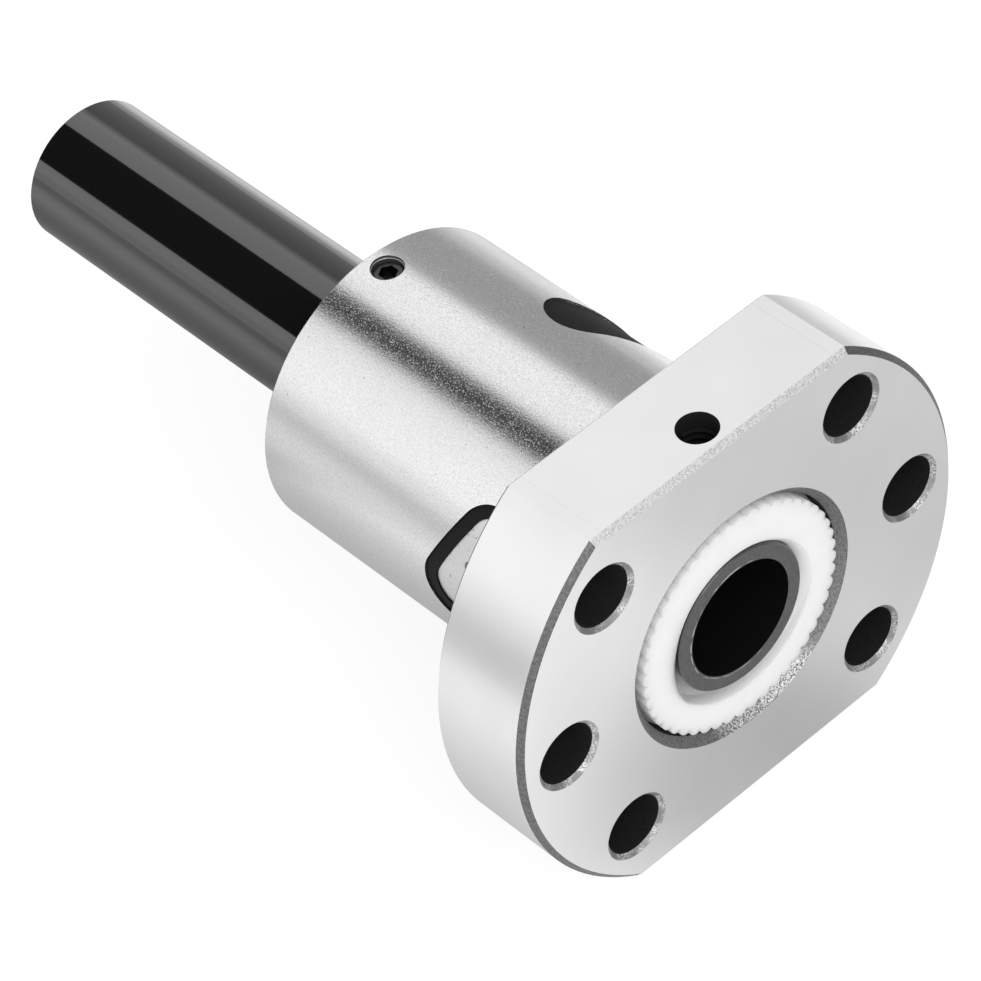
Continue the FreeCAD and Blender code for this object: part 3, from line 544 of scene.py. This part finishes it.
def saw_burr():
    """A thin wavy lip on the tube's end, on the bore's edge, higher and lower as the saw tore it."""
    mesh = bmesh.new()
    sections = []
    for step in range(BURR_STEPS + 1):
        share = step / BURR_STEPS
        angle = math.radians(BURR_FIRST_ANGLE + (BURR_LAST_ANGLE - BURR_FIRST_ANGLE) * share)
        cosine, sine = math.cos(angle), math.sin(angle)
        wave = math.sin(9 * angle) + 0.7 * math.sin(23 * angle + 1.0) + 0.5 * math.sin(57 * angle + 2.0)
        fade = math.sin(math.pi * share) ** 0.5
        height = max(BURR_HEIGHT * fade * (0.55 + 0.2 * wave), BURR_LEAST_HEIGHT)
        inner = TUBE_BORE_RADIUS + BURR_FROM_BORE + BURR_WANDER * wave
        outline = [(inner, BURR_ROOT), (inner, height), (inner + BURR_WIDTH / 2, height),
                   (inner + BURR_WIDTH, BURR_ROOT)]
        sections.append([mesh.verts.new((TUBE_FRONT + out, radius * cosine, radius * sine))
                         for radius, out in outline])
    skin_sections(mesh, sections)
    new_piece("tube_saw_burr", mesh, "tube", torn_black_plastic())


# Stage

FLOOR_HALF_SIDE = 6.0


def painted_floor_shade(tree, place):
    """The floor's level as the metal mirrors it, in painted shade: darker under the tube, under the nut, far
    out to the sides, towards +Y in front of the flange and at the flange's foot. Widths and places are in
    millimetres."""
    x, y, _ = add(tree, "SeparateXYZ", place).outputs
    aside = add(tree, "Math", y, operation="ABSOLUTE")
    # Painted shade: dark under the tube and under the nut, and darker far out to the sides
    under_tube = add(tree, "MapRange", aside, 8.0, 55.0, 0.06, 0.78, interpolation_type="SMOOTHSTEP")
    under_nut = add(tree, "MapRange", aside, 4.0, 60.0, 0.4, 1.0, interpolation_type="SMOOTHSTEP")
    nut_begins = add(tree, "MapRange", x, -56.0, -46.0, interpolation_type="SMOOTHSTEP")
    far = add(tree, "MapRange", aside, 90.0, 140.0, 0.0, 0.25, interpolation_type="SMOOTHSTEP")
    behind = add(tree, "Mix", nut_begins, under_tube, under_nut)
    behind = add(tree, "Math", behind, far, operation="SUBTRACT")
    uneven = add(tree, "TexNoise", place, 1 / 22.0, 0.0, 0.5)
    uneven = add(tree, "MapRange", uneven, 0.3, 0.7, -0.05, 0.05, interpolation_type="SMOOTHSTEP")
    # Painted shade in front of the flange: darker towards +Y, and a dark spot at the flange's foot
    front = add(tree, "MapRange", y, 0.0, 22.0, 1.02, 0.65, interpolation_type="SMOOTHSTEP")
    front = add(tree, "Math", front, uneven, operation="ADD")
    from_foot = distance(tree, x, 12.0, y, -1.0)
    foot = add(tree, "MapRange", from_foot, 22.0, 4.0, 0.0, 0.52, interpolation_type="SMOOTHSTEP")
    front = add(tree, "Math", front, foot, operation="SUBTRACT")
    flange_ends = add(tree, "MapRange", x, 4.0, 10.0, interpolation_type="SMOOTHSTEP")
    return add(tree, "Mix", flange_ends, behind, front)


def white_floor():
    """White paper under the nut: white to the camera with the nut's shadow, and painted shade in the metal.
    """
    mesh = bpy.data.meshes.new("floor")
    side = FLOOR_HALF_SIDE
    corners = [(-side, -side, 0), (side, -side, 0), (side, side, 0), (-side, side, 0)]
    mesh.from_pydata(corners, [], [(0, 1, 2, 3)])
    floor = bpy.data.objects.new("floor", mesh)
    floor.location.z = -FLAT_HEIGHT
    bpy.context.scene.collection.objects.link(floor)
    paper, tree, place = new_material("white_paper")
    rays = add(tree, "LightPath").outputs
    seen = any_of(tree, rays["Is Camera Ray"], rays["Is Glossy Ray"], rays["Is Transmission Ray"])
    matt = add(tree, "BsdfDiffuse", "#e6e6e6")
    faint = add(tree, "BsdfDiffuse", "#808080")
    # Glossy rays see the painted shade, and the other rays that see the floor a plain glow of 0.84
    strength = add(tree, "Mix", rays["Is Glossy Ray"], 0.84, painted_floor_shade(tree, place))
    lit = add(tree, "AddShader", faint, add(tree, "Emission", "#ffffff", strength))
    add(tree, "OutputMaterial", add(tree, "MixShader", seen, matt, lit))
    mesh.materials.append(paper)


# A long black card, curved round the tube's upper left side and just inside the spigot's radius, so that only
# the tube mirrors it, as its wide black band. It fades out towards the nut.
CARD_RADIUS = 13.0 * MM
CARD_FIRST_ANGLE = 94.9
CARD_LAST_ANGLE = 144.3
CARD_STEPS = 16
CARD_BEHIND = SPIGOT_END - 1.5 * MM
CARD_LENGTH = 140.0 * MM
CARD_FADE = 6.0 * MM


def black_card():
    """The card shows only in what is glossy, so it throws no shadow and hides nothing."""
    corners = []
    for step in range(CARD_STEPS + 1):
        angle = math.radians(CARD_FIRST_ANGLE + (CARD_LAST_ANGLE - CARD_FIRST_ANGLE) * step / CARD_STEPS)
        y, z = CARD_RADIUS * math.cos(angle), CARD_RADIUS * math.sin(angle)
        corners += [(CARD_BEHIND, y, z), (CARD_BEHIND - CARD_LENGTH, y, z)]
    strips = [(2 * step, 2 * step + 1, 2 * step + 3, 2 * step + 2) for step in range(CARD_STEPS)]
    mesh = bpy.data.meshes.new("black_card")
    mesh.from_pydata(corners, [], strips)
    card = bpy.data.objects.new("black_card", mesh)
    bpy.context.scene.collection.objects.link(card)
    felt, tree, place = new_material("black_felt")
    x = add(tree, "SeparateXYZ", place).outputs[0]
    faded = add(tree, "MapRange", x, (CARD_BEHIND - CARD_FADE) / MM, CARD_BEHIND / MM,
                interpolation_type="SMOOTHSTEP")
    cover = add(tree, "MixShader", faded, add(tree, "BsdfDiffuse", "#0a0a0a"), add(tree, "BsdfTransparent"))
    add(tree, "OutputMaterial", cover)
    mesh.materials.append(felt)
    card.visible_camera = False
    card.visible_diffuse = False
    card.visible_shadow = False


# Room, lamp and camera

# The room's brightness where metal mirrors it, by the angle round the screw axis: +Y is 0, +Z is 90, -Y is
# 180. Bright walls and ceiling, a grey wall on the +Y side, and one dark strip overhead, which draws the
# streak along the nut. Beyond the first and the last angle the level holds.
ROOM_PEAK = 1.5
ROOM = [(-170.0, 0.98), (-60.0, 0.7), (-14.0, 0.44), (46.0, 0.44), (52.0, 1.3), (87.0, 1.28), (92.5, 0.02),
        (108.5, 0.02), (116.5, 1.1), (128.0, 1.25), (148.0, 1.35), (166.0, 1.35), (172.0, 1.08)]
END_WALLS = 0.9
MATT_LEVEL = 0.8


def bright_room():
    """The world: white to the camera, even to matt surfaces, and the room's bands to anything glossy. The
    bands run out into plain walls at both ends of the screw axis."""
    world = bpy.data.worlds.new("bright_room")
    bpy.context.scene.world = world
    world.use_nodes = True
    tree = world.node_tree
    tree.nodes.clear()
    rays = add(tree, "LightPath").outputs
    along, side, up = add(tree, "SeparateXYZ", add(tree, "TexCoord").outputs["Generated"]).outputs
    turn = add(tree, "Math", up, side, operation="ARCTAN2")
    turn = add(tree, "Math", turn, 2 * math.pi, operation="DIVIDE")
    bands = add(tree, "ValToRGB", add(tree, "Math", turn, 0.5, operation="ADD"))
    stops = bands.color_ramp.elements
    while len(stops) > 1:
        stops.remove(stops[-1])
    stops[0].position = ROOM[0][0] / 360 + 0.5
    for angle, _ in ROOM[1:]:
        stops.new(angle / 360 + 0.5)
    for stop, (_, level) in zip(stops, ROOM):
        shade = level / ROOM_PEAK
        stop.color = (shade, shade, shade, 1)
    mirrored = add(tree, "Math", bands, ROOM_PEAK, operation="MULTIPLY")
    endwards = add(tree, "Math", along, operation="ABSOLUTE")
    at_ends = add(tree, "MapRange", endwards, 0.8, 0.95, interpolation_type="SMOOTHSTEP")
    mirrored = add(tree, "Mix", at_ends, mirrored, END_WALLS)
    strength = add(tree, "Mix", rays["Is Glossy Ray"], MATT_LEVEL, mirrored)
    strength = add(tree, "Mix", rays["Is Camera Ray"], strength, 1.0)
    add(tree, "OutputWorld", add(tree, "Background", "#ffffff", strength))


LAMP_PLACE = (0.45, -0.14, 0.46)
LAMP_SIDE = 0.45
LAMP_WATTS = 1.6


def soft_lamp():
    """One large soft lamp over the flange gives the white wiper and the holes their shading."""
    data = bpy.data.lights.new("front_softbox", "AREA")
    data.shape = "SQUARE"
    data.size = LAMP_SIDE
    data.energy = LAMP_WATTS
    lamp = bpy.data.objects.new("front_softbox", data)
    bpy.context.scene.collection.objects.link(lamp)
    lamp.location = LAMP_PLACE
    lamp.rotation_euler = (-lamp.location).to_track_quat("-Z", "Y").to_euler()


# The photograph's camera: place, the point it looks at and its tilt about the line of sight. Its lens and
# sensor are in millimetres, and it sees from the nearest distance to the furthest.
CAMERA_PLACE = Vector((212.0, -170.7, 287.1)) * MM
CAMERA_AIM = Vector((-8.738, -8.930, 9.242)) * MM
CAMERA_ROLL = math.radians(-9.28)
CAMERA_LENS = 181.07
CAMERA_SENSOR = 36.0
CAMERA_NEAREST = 0.01
CAMERA_FURTHEST = 20.0


def camera():
    """Stands where the photograph was taken from."""
    data = bpy.data.cameras.new("camera")
    data.lens = CAMERA_LENS
    data.sensor_width = CAMERA_SENSOR
    data.clip_start = CAMERA_NEAREST
    data.clip_end = CAMERA_FURTHEST
    eye = bpy.data.objects.new("camera", data)
    bpy.context.scene.collection.objects.link(eye)
    look = (CAMERA_AIM - CAMERA_PLACE).to_track_quat("-Z", "Y").to_matrix()
    turned = look @ Matrix.Rotation(CAMERA_ROLL, 3, "Z")
    eye.matrix_world = Matrix.Translation(CAMERA_PLACE) @ turned.to_4x4()
    bpy.context.scene.camera = eye


bpy.context.scene.view_settings.view_transform = "Standard"
camera()
white_floor()
black_card()
bright_room()
soft_lamp()
finishes = finish_nodes()
bearing_balls()
tapped_thread("front_tapped_thread", front_screw_low, front_screw_high, FRONT_PITCH, FRONT_TAPPING_RADIUS,
              FLAT_HEIGHT - FRONT_COUNTERSINK, finishes["nut_body"])
tapped_thread("rear_tapped_thread", rear_screw_low, rear_screw_high, REAR_PITCH, REAR_TAPPING_RADIUS,
              SPIGOT_RADIUS, cut_thread_steel())
saw_burr()
